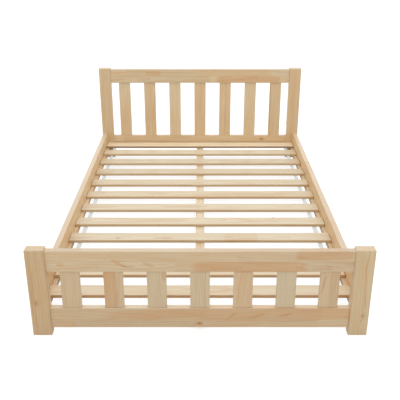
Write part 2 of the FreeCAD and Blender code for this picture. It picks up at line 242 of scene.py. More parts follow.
# %% [markdown]
# ### Fibres, blotches and the knot itself
#
# Between the rings the wood is made of fibres, a few hundredths of a millimetre wide. That is too fine to
# see from a step away, so the long streaks here are bundles about 2 mm wide. A slow blotchiness stands for
# the way that sapwood and heartwood take the lacquer. The knot is a branch cut through: a brown heart that
# fades into an amber halo.

# %% Fibres and blotches
fibre_size = (140 * MM, 3.2 * MM, 3.2 * MM)
fibre = add(grain, "VectorMath", {0: own[0], 1: fibre_size}, operation="DIVIDE")
fibre = add(grain, "TexNoise", {"Vector": fibre[0], "Scale": 1.0, "Detail": 3.0, "Roughness": 0.6})
blotch_size = (210 * MM, 24 * MM, 24 * MM)
blotch = add(grain, "VectorMath", {0: own[0], 1: blotch_size}, operation="DIVIDE")
blotch = add(grain, "TexNoise", {"Vector": blotch[0], "Scale": 1.0, "Detail": 2.0})

# %% The knot
knot_squeeze = (0.6, 1.0, 0.0)
halo_share = 0.82
in_knot = add(grain, "VectorMath", {0: to_knot[0], 1: knot_squeeze}, operation="MULTIPLY")
in_knot = add(grain, "VectorMath", {0: in_knot[0]}, operation="LENGTH")
in_knot = add(grain, "Math", {0: in_knot["Value"], 1: ask["Knot radius"]}, operation="DIVIDE")
strong = ask["Knot strength"]
edge = {"Value": in_knot[0], "From Min": 0.6, "From Max": 1.3, "To Min": strong, "To Max": 0.0}
knot_core = add(grain, "MapRange", edge, interpolation_type="SMOOTHSTEP")
halo = add(grain, "Math", {0: strong, 1: halo_share}, operation="MULTIPLY")
edge = {"Value": in_knot[0], "From Min": 0.9, "From Max": 3.6, "To Min": halo[0], "To Max": 0.0}
knot_halo = add(grain, "MapRange", edge, interpolation_type="SMOOTHSTEP")

# %% [markdown]
# ### From masks to colour
#
# Spring wood is a pale cream, summer wood is honey and resinous wood is amber. The masks lay them one over
# the other. A board's warmth says how much of its wood leans to amber, each block adds its own luck, and what
# comes in on the amber and resin sockets is painted where one board needs it: the wood's own streaks and
# resin lines, and on some faces painted warm bounce light and painted shade. End grain drinks the lacquer,
# so the ends of a board are darker than its faces. The sockets of a Mix node are named by number, because
# those for numbers, vectors and colours share their names.

# %% The masks
shown_rings = add(grain, "Math", {0: summer["Color"], 1: ask["Ring strength"]}, operation="MULTIPLY")
lean = add(grain, "Math", {0: lucks["Green"], 1: 0.5}, operation="SUBTRACT")
lean = add(grain, "Math", {0: lean[0], 1: ask["Luck"], 2: ask["Warmth"]}, operation="MULTIPLY_ADD")
lean = add(grain, "Math", {0: lean[0], 1: ask["Amber"]}, operation="ADD")
patchy = {"Value": blotch["Fac"], "From Min": 0.32, "From Max": 0.68, "To Min": -0.12, "To Max": 0.14}
patchy = add(grain, "MapRange", patchy)
lean = add(grain, "Math", {0: lean[0], 1: patchy[0]}, operation="ADD", use_clamp=True)
# The share of the resin brown: the wood's resin lines, the glue lines, and painted shade where a board's
# faces ask for it.
dark = add(grain, "Math", {0: ask["Resin and painted shade"], 1: glue[0]}, operation="ADD", use_clamp=True)

# %% Lay the woods one over the other
factor, first, second, mixed = 0, 6, 7, 2
woods = {
    "spring": "CDB995", "sap": "E0D9C2", "summer": "B88C5A", "amber": "C28D52", "resin_and_shade": "9A6431",
    "knot": "7E5C38", "end grain": "BC9E70",
}
colour = linear(woods["spring"])
for share, wood in (
    (ask["Paleness"], "sap"),
    (shown_rings[0], "summer"),
    (lean[0], "amber"),
    (dark[0], "resin_and_shade"),
    (knot_halo[0], "amber"),
    (knot_core[0], "knot"),
):
    layer = {factor: share, first: colour, second: linear(woods[wood])}
    colour = add(grain, "Mix", layer, data_type="RGBA")[mixed]

# %% Tone the blocks, streak the fibres, darken the ends
streak = {"Value": fibre["Fac"], "From Min": 0.3, "From Max": 0.7, "To Min": 0.93, "To Max": 1.06}
streak = add(grain, "MapRange", streak)
tone = add(grain, "MapRange", {"Value": lucks["Red"], "To Min": 0.93, "To Max": 1.05})
bright = add(grain, "Math", {0: streak[0], 1: tone[0]}, operation="MULTIPLY")
bright = add(grain, "Math", {0: bright[0], 1: ask["Tone"]}, operation="MULTIPLY")
toned = add(grain, "HueSaturation", {"Color": colour, "Value": bright[0]})
facing = add(grain, "SeparateXYZ", {0: ask["Facing"]})
endwise = add(grain, "Math", {0: facing["X"]}, operation="ABSOLUTE")
endwise = add(grain, "MapRange", {"Value": endwise[0], "From Min": 0.6, "From Max": 0.8, "To Max": 0.55})
ends = {factor: endwise[0], first: toned[0], second: linear(woods["end grain"])}
ends = add(grain, "Mix", ends, data_type="RGBA")

# %% Gloss and relief
summer_relief = 0.35
matt = {"Value": fibre["Fac"], "From Min": 0.3, "From Max": 0.7, "To Min": 0.5, "To Max": 0.62}
matt = add(grain, "MapRange", matt)
relief = add(grain, "Math", {0: summer["Color"], 1: summer_relief, 2: fibre["Fac"]}, operation="MULTIPLY_ADD")
add(grain, "NodeGroupOutput", {"Colour": ends[mixed], "Roughness": matt[0], "Relief": relief[0]})
print("nodes in the grain:", len(grain.nodes))

# %% [markdown]
# ## Patches
#
# Rings and luck give wood in general. A real board also has things of its own: a glued-in block from a
# resinous tree, a streak of amber heartwood, a thin slanting line of pitch. A second node group paints one
# such thing: it reads a place on the board and gives a share from 0 to 1 inside a lengthwise patch. It also
# lays the broad amber washes that are painted warm bounce light. A power of 2 makes the patch an oval, for
# streaks, and one of 8 nearly a rectangle, for blocks. A noise drawn out like the fibres frays its sides,
# and the finger joint's zigzag cuts the ends of a block.

# %% The node group of one patch
patch_inputs = {"Place": (0, 0, 0), "Middle": (0, 0, 0), "Reach": (100 * MM, 10 * MM, 1), "Slope": 0.0,
                "Power": 2.0, "Share": 0.5}
patch, want = new_group("patch_of_wood_and_painted_light", "ShaderNodeTree", patch_inputs, {"Mask": "Float"})
spot = add(patch, "SeparateXYZ", {0: want["Place"]})
blocky = add(patch, "MapRange", {"Value": want["Power"], "From Min": 2.0, "From Max": 8.0})
notch = add(patch, "Math", {0: spot["Y"], 1: finger_pitch / 2}, operation="PINGPONG")
notch = add(patch, "Math", {0: notch[0], 1: blocky[0]}, operation="MULTIPLY")
notch = add(patch, "Math", {0: notch[0], 1: steep}, operation="MULTIPLY")
notched = add(patch, "CombineXYZ", {"X": notch[0]})
off = add(patch, "VectorMath", {0: want["Place"], 1: notched[0]}, operation="ADD")
off = add(patch, "VectorMath", {0: off[0], 1: want["Middle"]}, operation="SUBTRACT")
off = add(patch, "SeparateXYZ", {0: off[0]})
rise = add(patch, "Math", {0: off["X"], 1: want["Slope"]}, operation="MULTIPLY")
aside = add(patch, "Math", {0: off["Y"], 1: rise[0]}, operation="SUBTRACT")

# %% Fray the sides and fill the patch
fray_size = (70 * MM, 2.4 * MM, 2.4 * MM)
fray_depth = 3.5 * MM
fray = add(patch, "VectorMath", {0: want["Place"], 1: fray_size}, operation="DIVIDE")
fray = add(patch, "TexNoise", {"Vector": fray[0], "Scale": 1.0, "Detail": 2.0})
fray = add(patch, "MapRange", {"Value": fray["Fac"], "To Min": -fray_depth, "To Max": fray_depth})
aside = add(patch, "Math", {0: fray[0], 1: aside[0]}, operation="ADD")
offset = add(patch, "CombineXYZ", {"X": off["X"], "Y": aside[0]})
share = add(patch, "VectorMath", {0: offset[0], 1: want["Reach"]}, operation="DIVIDE")
share = add(patch, "VectorMath", {0: share[0]}, operation="ABSOLUTE")
share = add(patch, "SeparateXYZ", {0: share[0]})
along = add(patch, "Math", {0: share["X"], 1: want["Power"]}, operation="POWER")
across = add(patch, "Math", {0: share["Y"], 1: want["Power"]}, operation="POWER")
reached = add(patch, "Math", {0: along[0], 1: across[0]}, operation="ADD")
edge = {"Value": reached[0], "From Min": 0.35, "From Max": 1.5, "To Min": 1.0, "To Max": 0.0}
inside = add(patch, "MapRange", edge, interpolation_type="SMOOTHSTEP")
mask = add(patch, "Math", {0: inside[0], 1: want["Share"]}, operation="MULTIPLY")
add(patch, "NodeGroupOutput", {"Mask": mask[0]})
print("nodes in a patch:", len(patch.nodes))

# %% [markdown]
# ## One board, one material
#
# A shared material would give every board the same cut of the same tree. So each board gets its own, made
# by one function: it turns the board's own length, width and thickness onto the three axes that the grain
# reads, asks the grain for a cut, and puts a thin lacquer over it. The turn comes from the board's own box,
# whose longest side is always the one along the grain.


# %% The way a board lies
def board_turn(node):
    """The turn and shift that bring a board's length, width and thickness onto X, Y and Z."""
    low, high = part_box(node)
    size = high - low
    order = sorted(range(3), key=lambda axis: -size[axis])
    length_way, width_way = [Vector([float(axis == way) for axis in range(3)]) for way in order[:2]]
    turn = Matrix((length_way, width_way, length_way.cross(width_way)))
    return turn.to_euler(), -(turn @ ((low + high) / 2))


# %% [markdown]
# The rubbed edges of a planed board and its raised fibres are too small for the mesh, so they only bend the
# light: a Bevel node rounds the edges, a Bump node raises the fibres, and the lacquer lies over both.


# %% Lacquered pine
planed_relief = 0.12 * MM
rubbed_edge = 1.5 * MM


def planed_pine(node, cut, marks, face_lacquer_and_painted_light):
    """Planed pine under satin lacquer. The lacquer and the painted light and shade of the last argument are
    set apart on the upright and on the top faces.
    """
    material, tree = new_material("lacquered_pine_" + node)
    rotation, location = board_turn(node)
    here = add(tree, "TexCoord")
    lie = {"Vector": here["Object"], "Location": location, "Rotation": rotation}
    board = add(tree, "Mapping", lie)
    facing = add(tree, "Mapping", {"Vector": here["Normal"], "Rotation": rotation}, vector_type="VECTOR")
    painted = {}
    for wood_kind, middle_x, middle_y, half_length, half_width, slope, power, share in marks:
        middle = (middle_x * MM, middle_y * MM, 0)
        reach = (half_length * MM, half_width * MM, 1)
        mark = {"Place": board[0], "Middle": middle, "Reach": reach, "Slope": slope, "Power": power,
                "Share": share}
        mark = add(tree, "Group", mark, node_tree=patch)
        before = painted.get(wood_kind, 0.0)
        painted[wood_kind] = add(tree, "Math", {0: mark[0], 1: before}, operation="ADD")[0]
    # Painted light and shade: these values follow the face's normal, so the top faces are painted paler as a
    # highlight and the upright ones warmer, with a tone of their own, as bounce light and shade. The
    # lacquer's thickness follows the normal the same way.
    upward = add(tree, "SeparateXYZ", {0: here["Normal"]})
    changed = {}
    for name, (upright, top) in face_lacquer_and_painted_light.items():
        start = {**cut_inputs, **cut}.get(name, 0.0)
        turned = {"Value": upward["Z"], "From Min": 0.3, "From Max": 0.7, "To Min": start + upright,
                  "To Max": start + top}
        changed[name] = add(tree, "MapRange", turned)[0]
    lacquer = changed.pop("Lacquer", 1.0)
    wood = {"Place": board[0], "Facing": facing[0], **cut, **painted, **changed}
    wood = add(tree, "Group", wood, node_tree=grain)
    soft_edge = add(tree, "Bevel", {"Radius": rubbed_edge}, samples=4)
    bump = {"Height": wood["Relief"], "Strength": 0.5, "Distance": planed_relief, "Normal": soft_edge[0]}
    bump = add(tree, "Bump", bump)
    sockets = {"Base Color": wood["Colour"], "Roughness": wood["Roughness"], "Normal": bump[0], "IOR": 1.5,
               "Coat Weight": lacquer, "Coat Roughness": 0.36, "Coat IOR": 1.5}
    shader = add(tree, "BsdfPrincipled", sockets)
    add(tree, "OutputMaterial", {"Surface": shader[0]})
    return material


# %% [markdown]
# ## Which cut each board gets
#
# The timber yard sorts by use. Posts are cut near the heart, with broad rings and a few resin lines. Rails
# are glued from two strips, slats from one or two, and the bearers underneath are plainer. For each kind,
# the table says where the pith lies, seen from the middle of the board, how wide the rings are, and how the
# board is glued up. A strip wider than its board makes it one piece of wood. The seeds pick the trees.

# %% The cuts
one_piece = {"Strip width": 200 * MM, "Strip shift": 100 * MM, "Block length": 4.0}
rail_pith = (0, 0.03, 0.09)
cuts = {
    "post": {**one_piece, "Pith": (0, 0.14, 0.05), "Ring width": 7 * MM, "Warmth": 0.14},
    "rail": {"Pith": rail_pith, "Strip width": 43 * MM, "Block length": 460 * MM, "Warmth": 0.12},
    "side_rail": {"Pith": rail_pith, "Strip width": 53 * MM, "Block length": 520 * MM, "Warmth": 0.1,
                  "Tone": 1.12},
    "board_slat": {**one_piece, "Pith": (0, 0.08, 0.05), "Ring width": 5 * MM, "Ring strength": 0.42,
                   "Luck": 0.0},
    "bed_slat": {**one_piece, "Pith": (0, 0.03, 0.11), "Ring width": 7 * MM, "Ring strength": 0.35,
                 "Warmth": 0.03, "Tone": 0.94, "Luck": 0.08},
    "bearer": {**one_piece, "Pith": (0, 0.04, 0.06), "Ring width": 5 * MM, "Block length": 600 * MM},
}

# %% [markdown]
# The top faces are painted paler and whiter than the upright ones: a painted highlight, for the light that
# falls on them and gleams in their lacquer. The upright faces are painted warmer, with a tone of their own
# by kind, as painted bounce light and painted shade. Posts, side rails, slats and bearers have less lacquer
# on their sides. So a few values change with the way that a face looks: each pair is what is added on the
# upright faces and on the top ones, and for the lacquer how thick it is there. The surface's normal, in the
# object's own axes, tells them apart. A board that is named here has changes of its own, and any other has
# those of its kind.

# %% Lacquer, painted light and painted shade on the upright and the top faces
lacquer_and_painted_light_by_face = {
    "post": {"Paleness": (0.0, 0.56), "Tone": (0.04, -0.15), "Lacquer": (0.3, 1.0)},
    "rail": {"Warmth": (0.0, -0.1), "Paleness": (0.0, 0.58), "Tone": (0.0, -0.1)},
    "side_rail": {"Warmth": (0.1, -0.06), "Paleness": (0.0, 0.48), "Tone": (0.11, -0.1),
                  "Lacquer": (0.05, 1.0)},
    # The slats' tops are painted paler as a highlight, and their upright edges warmer as painted bounce
    # light.
    "bed_slat": {"Warmth": (0.3, 0.0), "Paleness": (0.0, 0.43), "Tone": (0.15, -0.03), "Lacquer": (0.2, 0.6)},
    # The bearers' upright faces are darkened with resin brown: painted shade.
    "bearer": {"Resin and painted shade": (0.4, 0.05), "Tone": (-0.08, 0.0), "Lacquer": (0.05, 1.0)},
    "headboard_bottom_rail": {"Paleness": (0.0, 0.2), "Tone": (0.0, -0.14)},
    # The front edge of the last slat is darkened with resin brown: painted shade.
    "bed_slat_12": {"Resin and painted shade": (0.6, 0.0), "Tone": (-0.4, 0.0), "Lacquer": (0.05, 0.6)},
}


def kind_of(board):
    """Which of the cuts a board has, told by its name."""
    kinds = ("post", "side_rail", "rail", "bed_slat", "board_slat")
    return next((kind for kind in kinds if kind in board), "bearer")


# %% [markdown]
# ## What single boards have of their own
#
# The two ends of the bed face the room, so their boards are looked at one by one. The first table changes a
# board's cut: how warm and how pale it is, how it is glued up, and where it has a knot. The second paints its
# patches: each has a kind of wood, its middle along and across the board, half its length and half its width,
# all in millimetres, its slant, the power that makes it an oval or a block, and its strength.

# %% Boards that differ from their kind
own_cut = {
    "footboard_bottom_rail": {"Warmth": 0.26, "Strip width": 52 * MM, "Strip shift": 8 * MM,
                              "Knot": (-0.002, -0.024, 0), "Knot radius": 4.2 * MM},
    "footboard_post_left": {"Warmth": 0.2, "Knot": (-0.039, -0.011, 0), "Knot strength": 0.46},
    "footboard_post_right": {"Warmth": 0.07, "Knot": (-0.095, 0.013, 0), "Knot strength": 0.36},
    "footboard_slat_1": {"Warmth": 0.17},
    "footboard_slat_2": {"Warmth": 0.18, "Tone": 0.96, "Strip width": 44 * MM, "Strip shift": 36 * MM},
    "footboard_slat_3": {"Warmth": 0.02, "Tone": 0.93},
    "footboard_slat_4": {"Warmth": 0.04, "Tone": 1.05},
    "footboard_slat_5": {"Warmth": 0.26},
    "footboard_slat_6": {"Warmth": -0.02, "Paleness": 0.05, "Tone": 0.96},
    "footboard_slat_7": {"Warmth": 0.2, "Strip width": 40 * MM, "Strip shift": 36 * MM},
    # Most boards of the headboard have a higher tone: painted light, as more light falls on the headboard
    # than on the footboard.
    "headboard_top_rail": {"Warmth": 0.03, "Tone": 1.06},
    "headboard_bottom_rail": {"Warmth": 0.16, "Tone": 1.1, "Knot": (0.405, 0.021, 0)},
    "headboard_post_left": {"Warmth": 0.32},
    "headboard_post_right": {"Warmth": 0.18},
    "headboard_slat_1": {"Warmth": 0.08, "Tone": 1.12},
    "headboard_slat_2": {"Warmth": 0.18, "Tone": 1.14},
    "headboard_slat_3": {"Warmth": -0.1, "Paleness": 0.05, "Tone": 1.1},
    "headboard_slat_4": {"Warmth": 0.24, "Tone": 1.1},
    "headboard_slat_5": {"Warmth": 0.14, "Tone": 1.16},
    "headboard_slat_6": {"Warmth": -0.04, "Tone": 1.14},
    "headboard_slat_7": {"Warmth": 0.2, "Tone": 1.08},
    "bed_slat_01": {"Warmth": 0.16},
    "bed_slat_02": {"Warmth": 0.16},
    "bed_slat_04": {"Tone": 0.89, "Knot": (-0.38, -0.017, 0), "Knot radius": 3 * MM},
    "bed_slat_05": {"Warmth": 0.02, "Tone": 0.88, "Knot": (0.361, 0.034, 0), "Knot radius": 3 * MM},
    "bed_slat_06": {"Tone": 0.91},
    "bed_slat_07": {"Warmth": 0.12, "Tone": 0.97},
    "bed_slat_10": {"Tone": 0.96},
    "bed_slat_11": {"Warmth": -0.04, "Tone": 1.0},
    # The last slat is painted paler and brighter: painted light against the shade that the headboard casts on
    # it.
    "bed_slat_12": {"Warmth": 0.0, "Paleness": 0.32, "Tone": 1.24},
    "slat_ledger_left": {"Warmth": 0.08, "Tone": 1.05},
    "slat_ledger_right": {"Warmth": 0.08, "Tone": 1.05},
    "centre_beam": {"Warmth": 0.02, "Paleness": 0.3},
}

# %% Patches of single boards
own_marks = {
    "footboard_top_rail": [
        ("Amber", 188, -22, 207, 22, 0, 8, 0.42), ("Amber", 459, 26, 104, 17, 0, 8, 0.38),
        ("Resin and painted shade", 459, 26, 104, 17, 0, 8, 0.06),
        ("Amber", -512, -13, 16, 7, 0, 2, 0.45), ("Amber", -296, -9, 26, 8, -0.5, 2, 0.5),
        ("Resin and painted shade", -264, -20, 26, 2, -0.06, 2, 0.5), ("Amber", -190, -12, 22, 9, -0.3, 2, 0.42),
        ("Resin and painted shade", 492, -22, 44, 2, -0.2, 2, 0.3), ("Resin and painted shade", 470, -32, 50, 2, -0.12, 2, 0.25),
    ],
    "footboard_bottom_rail": [
        ("Amber", 0, 18, 640, 26, 0, 8, 0.16), ("Amber", -170, 16, 190, 22, 0, 2, 0.3),
        ("Resin and painted shade", -285, -15, 260, 1.6, 0, 2, 0.3),
    ],
    "footboard_slat_2": [("Amber", 0, -15, 100, 23, 0, 8, 0.46), ("Resin and painted shade", 10, 14, 70, 1.6, 0.03, 2, 0.35)],
    "footboard_slat_3": [("Amber", 58, 27, 24, 10, -0.05, 2, 0.5)],
    "footboard_slat_4": [("Resin and painted shade", -10, -14, 80, 1.4, 0.02, 2, 0.25), ("Resin and painted shade", 0, 9, 80, 1.4, 0, 2, 0.25)],
    "footboard_slat_5": [("Amber", 5, -15, 78, 4, 0.11, 2, 0.3)],
    "footboard_slat_7": [("Resin and painted shade", 22, -22, 42, 3, 0.18, 2, 0.45), ("Amber", 0, 20, 100, 17, 0, 8, 0.2)],
    "footboard_post_left": [
        ("Resin and painted shade", 30, -26, 150, 2.4, 0.01, 2, 0.35), ("Amber", 0, -18, 190, 3, 0, 2, 0.35),
    ],
    "footboard_post_right": [
        ("Amber", 139, 9, 42, 4, 0.097, 2, 0.4), ("Amber", 72, 8, 46, 4, -0.055, 2, 0.4),
        ("Amber", -20, 14, 60, 4, -0.1, 2, 0.4),
    ],
    "headboard_top_rail": [
        ("Amber", -512, 21, 52, 8, 0, 2, 0.42), ("Amber", -290, 18, 46, 14, 0, 8, 0.36),
        ("Amber", 316, -22, 203, 21, 0, 8, 0.46), ("Resin and painted shade", 316, -22, 203, 21, 0, 8, 0.1),
    ],
    "headboard_slat_5": [("Resin and painted shade", 0, 3, 190, 2.4, 0.02, 2, 0.4)],
    "headboard_slat_7": [("Resin and painted shade", 0, -30, 190, 4, 0, 2, 0.4)],
    "bed_slat_04": [
        ("Amber", 195, 0, 78, 60, 0, 8, 0.2), ("Amber", -170, -16, 46, 10, 0, 2, 0.4),
    ],
    "bed_slat_07": [("Amber", 250, -14, 330, 24, 0, 2, 0.22)],
}

# %% Streaks that repeat, and washes of painted warm bounce light
for middle_x, middle_y, half_length, slope in ((119, 9, 20, 0.69), (214, 9, 34, 0.32), (323, 14, 26, 0.27)):
    for wood_kind, share in (("Amber", 0.35), ("Resin and painted shade", 0.1)):
        streak = (wood_kind, middle_x, middle_y, half_length, 5, slope, 2, share)
        own_marks["footboard_bottom_rail"].append(streak)
# The headboard slats get an amber wash on their lower part: painted warm light, bounced up from the bed
# slats.
for number, share in ((1, 0.09), (2, 0.1), (3, 0.22), (5, 0.1), (6, 0.18)):
    own_marks.setdefault("headboard_slat_" + str(number), []).append(("Amber", -90, 0, 110, 50, 0, 2, share))
# The side rails get an amber wash near the foot end: painted warm bounce light on their inner faces.
for side in ("left", "right"):
    own_marks["side_rail_" + side] = [("Amber", -880, 0, 260, 90, 0, 2, 0.3)]
print("boards with patches:", len(own_marks))

# %% Dress the boards
slots_of = {part["node"]: part["material_slot"] for part in frame["record"]["subparts"]}


def nodes_of(slot):
    """The frame's nodes whose slot in the record ends so."""
    return [node for node in sorted(frame["nodes"]) if slots_of[node].endswith(slot)]


def dress(nodes, material):
    """Give nodes one material all over."""
    for node in nodes:
        for slot in frame["nodes"][node].material_slots:
            slot.material = material


boards = nodes_of("_pine")
for number, node in enumerate(boards):
    kind = kind_of(node)
    cut = {**cuts[kind], "Seed": 3.7 * number + 1.3, **own_cut.get(node, {})}
    face_lacquer_and_painted_light = lacquer_and_painted_light_by_face.get(node, lacquer_and_painted_light_by_face.get(kind, {}))
    dress([node], planed_pine(node, cut, own_marks.get(node, []), face_lacquer_and_painted_light))
print("boards dressed:", len(boards))

# %% [markdown]
# ## Beech dowels
#
# The pins that keep the slats in their places, and the dowel in the middle leg, are turned from beech and
# left bare. Beech is a close, even, pinkish wood, marked by its rays: short darker flecks a few millimetres
# long, in line with the grain. A fine noise, stretched along the pin and cut off so that only its crests
# stay, makes them.

# %% Turned beech
beech, tree = new_material("turned_beech")
fleck_size = (0.5 * MM, 0.5 * MM, 3.0 * MM)
cloud_size = 50 * MM / 3
here = add(tree, "TexCoord")
fleck = add(tree, "VectorMath", {0: here["Object"], 1: fleck_size}, operation="DIVIDE")
fleck = add(tree, "TexNoise", {"Vector": fleck[0], "Scale": 1.0, "Detail": 1.0})
fleck_mask = add(tree, "MapRange", {"Value": fleck["Fac"], "From Min": 0.55, "From Max": 0.7})
cloudy = add(tree, "TexNoise", {"Vector": here["Object"], "Scale": 1 / cloud_size, "Detail": 2.0})
colours = {factor: cloudy["Fac"], first: linear("D2AE86"), second: linear("C59B72")}
turned = add(tree, "Mix", colours, data_type="RGBA")
colours = {factor: fleck_mask[0], first: turned[mixed], second: linear("A3764D")}
turned = add(tree, "Mix", colours, data_type="RGBA")
rough = add(tree, "MapRange", {"Value": fleck["Fac"], "To Min": 0.55, "To Max": 0.8})
tool_marks = add(tree, "Bump", {"Height": fleck["Fac"], "Strength": 0.4, "Distance": 0.05 * MM})
sockets = {"Base Color": turned[mixed], "Roughness": rough[0], "Normal": tool_marks[0], "IOR": 1.5}
shader = add(tree, "BsdfPrincipled", sockets)
add(tree, "OutputMaterial", {"Surface": shader[0]})
dress(nodes_of("beech_dowel"), beech)
print("beech nodes:", nodes_of("beech_dowel"))

# %% [markdown]
# ## Zinc-plated steel
#
# The hook plates, the keeper plates and the screws are pressed and rolled steel with a thin coat of bright
# zinc, sealed with a clear blue passivate. The coat is metal, so its colour is in its reflections: a cool
# grey that drifts to straw where the passivate is thicker. Handling in the drum leaves tiny scuffs, a third
# of a millimetre wide, that break up its gloss.

# %% Zinc-plated steel
zinc, tree = new_material("zinc_plated_steel")
tint_patch = 9 * MM
scuff_width = 0.35 * MM
here = add(tree, "TexCoord")
tint = add(tree, "TexNoise", {"Vector": here["Object"], "Scale": 1 / tint_patch, "Detail": 2.0})
tint = add(tree, "MapRange", {"Value": tint["Fac"], "From Min": 0.35, "From Max": 0.65})
colours = {factor: tint[0], first: linear("B9C0C6"), second: linear("C8C3B0")}
plated = add(tree, "Mix", colours, data_type="RGBA")
scuff = add(tree, "TexNoise", {"Vector": here["Object"], "Scale": 1 / scuff_width, "Detail": 3.0})
rough = add(tree, "MapRange", {"Value": scuff["Fac"], "To Min": 0.24, "To Max": 0.5})
dents = add(tree, "Bump", {"Height": scuff["Fac"], "Strength": 0.3, "Distance": 0.02 * MM})
sockets = {"Base Color": plated[mixed], "Metallic": 1.0, "Roughness": rough[0], "Normal": dents[0]}
shader = add(tree, "BsdfPrincipled", sockets)
add(tree, "OutputMaterial", {"Surface": shader[0]})
dress(nodes_of("zinc_steel"), zinc)
print("steel nodes:", len(nodes_of("zinc_steel")))

# %% [markdown]
# ## Screws
#
# The ledgers and the joint plates are fixed with countersunk wood screws. All of them are one shape in two
# lengths, so they are made by rule. A Geometry Nodes tree builds one screw from its sizes: a cone for the
# head, with a cross sunk into it, a core that ends in a point, and a thread, which is a triangle swept along
# a spiral. It then sets a copy on every point that it is given, turned to the direction stored with the
# point. The points come from the frame's plain screws, so each new one sits exactly where a plain one was.

# %% Where the frame's screws sit
def screw_seats(node):
    """For each plain screw of a node, the middle of its head's face and the way that it points."""
    form = bmesh.new()
    form.from_mesh(frame["nodes"][node].data)
    bmesh.ops.remove_doubles(form, verts=form.verts, dist=0.01 * MM)
    left = set(form.verts)
    seats = []
    while left:
        reached = [left.pop()]
        for vertex in reached:
            near = [edge.other_vert(vertex) for edge in vertex.link_edges]
            fresh = [other for other in near if other in left]
            left.difference_update(fresh)
            reached.extend(fresh)
        corners = [vertex.co.copy() for vertex in reached]
        low = Vector([min(corner[axis] for corner in corners) for axis in range(3)])
        high = Vector([max(corner[axis] for corner in corners) for axis in range(3)])
        size = high - low
        axis = max(range(3), key=lambda each: size[each])
        side = (axis + 1) % 3
        middle = (low + high) / 2
        wide = max(corners, key=lambda corner: abs(corner[side] - middle[side]))
        head_is_low = wide[axis] < middle[axis]
        way = Vector([float(each == axis) for each in range(3)]) * (1 if head_is_low else -1)
        seats.append((middle - way * size[axis] / 2, way, size[axis]))
    form.free()
    return sorted(seats, key=lambda seat: tuple(seat[0]))


for node in ("ledger_screws", "joint_plate_screws"):
    seats = screw_seats(node)
    print(node, len(seats), "screws,", round(seats[0][2] / MM, 1), "mm long, first at", list(seats[0][0]))

# %% The head of a screw
screw_sizes = {
    "Seats": None, "Head radius": 3.75 * MM, "Head depth": 2.3 * MM, "Core radius": 1.35 * MM,
    "Length": 28 * MM, "Point length": 5 * MM, "Thread pitch": 1.8 * MM, "Thread height": 0.6 * MM,
    "Cross width": 4.2 * MM, "Cross thickness": 0.9 * MM, "Cross depth": 1.7 * MM,
}
screw, size = new_group("countersunk_wood_screw", "GeometryNodeTree", screw_sizes, {"Screws": "Geometry"})
head = {"Vertices": 20, "Radius Top": size["Core radius"], "Radius Bottom": size["Head radius"],
        "Depth": size["Head depth"]}
head = add(screw, "GeometryNodeMeshCone", head)
cross = add(screw, "GeometryNodeMeshBoolean", operation="UNION", solver="EXACT")
for x, y in (("Cross width", "Cross thickness"), ("Cross thickness", "Cross width")):
    bar = add(screw, "CombineXYZ", {"X": size[x], "Y": size[y], "Z": size["Cross depth"]})
    bar = add(screw, "GeometryNodeMeshCube", {"Size": bar[0]})
    screw.links.new(bar["Mesh"], cross[0].node.inputs["Mesh 2"])
sunk = {"Mesh 1": head["Mesh"], "Mesh 2": cross["Mesh"]}
sunk = add(screw, "GeometryNodeMeshBoolean", sunk, operation="DIFFERENCE", solver="EXACT")

# %% The core, the point and the thread
sides = 12
thick = size["Core radius"]
shank = add(screw, "Math", {0: size["Length"], 1: size["Point length"]}, operation="SUBTRACT")
core = add(screw, "Math", {0: shank[0], 1: size["Cross depth"]}, operation="SUBTRACT")
core = {"Vertices": sides, "Radius Top": thick, "Radius Bottom": thick, "Depth": core[0]}
core = add(screw, "GeometryNodeMeshCone", core)
point = {"Vertices": sides, "Radius Top": 0.0, "Radius Bottom": thick, "Depth": size["Point length"]}
point = add(screw, "GeometryNodeMeshCone", point)
threaded = add(screw, "Math", {0: shank[0], 1: size["Head depth"]}, operation="SUBTRACT")
turns = add(screw, "Math", {0: threaded[0], 1: size["Thread pitch"]}, operation="DIVIDE")
spiral = {"Resolution": 14, "Rotations": turns[0], "Start Radius": thick, "End Radius": thick,
          "Height": threaded[0]}
spiral = add(screw, "GeometryNodeCurveSpiral", spiral)
triangle = add(screw, "GeometryNodeCurvePrimitiveCircle", {"Resolution": 3, "Radius": size["Thread height"]})
thread = {"Curve": spiral["Curve"], "Profile Curve": triangle["Curve"], "Fill Caps": True}
thread = add(screw, "GeometryNodeCurveToMesh", thread)
whole = add(screw, "GeometryNodeJoinGeometry")
screw.links.new(sunk["Mesh"], whole[0].node.inputs["Geometry"])
for part, start in (
    (core["Mesh"], size["Cross depth"]), (point["Mesh"], shank[0]), (thread["Mesh"], size["Head depth"])
):
    start = add(screw, "CombineXYZ", {"Z": start})
    part = add(screw, "GeometryNodeTransform", {"Geometry": part, "Translation": start[0]})
    screw.links.new(part["Geometry"], whole[0].node.inputs["Geometry"])


# %% A screw on every seat
def end_with_copies(tree, placed, result):
    """End a tree with copies on its points, made real and plated."""
    placed = add(tree, "GeometryNodeInstanceOnPoints", placed)
    real = add(tree, "GeometryNodeRealizeInstances", {"Geometry": placed["Instances"]})
    plated = add(tree, "GeometryNodeSetMaterial", {"Geometry": real["Geometry"], "Material": zinc})
    add(tree, "NodeGroupOutput", {result: plated["Geometry"]})
    print(tree.name, "has", len(tree.nodes), "nodes")


way = add(screw, "GeometryNodeInputNamedAttribute", {"Name": "way"}, data_type="FLOAT_VECTOR")
aimed = add(screw, "FunctionNodeAlignRotationToVector", {"Vector": way["Attribute"]}, axis="Z")
placed = {"Points": size["Seats"], "Instance": whole["Geometry"], "Rotation": aimed["Rotation"]}
end_with_copies(screw, placed, "Screws")

# %% [markdown]
# A tree only describes a shape. To get a plain mesh, an object with a point for every copy gets the tree as
# its modifier, and what the modifier makes is kept as the object's mesh. Then the modifier goes.


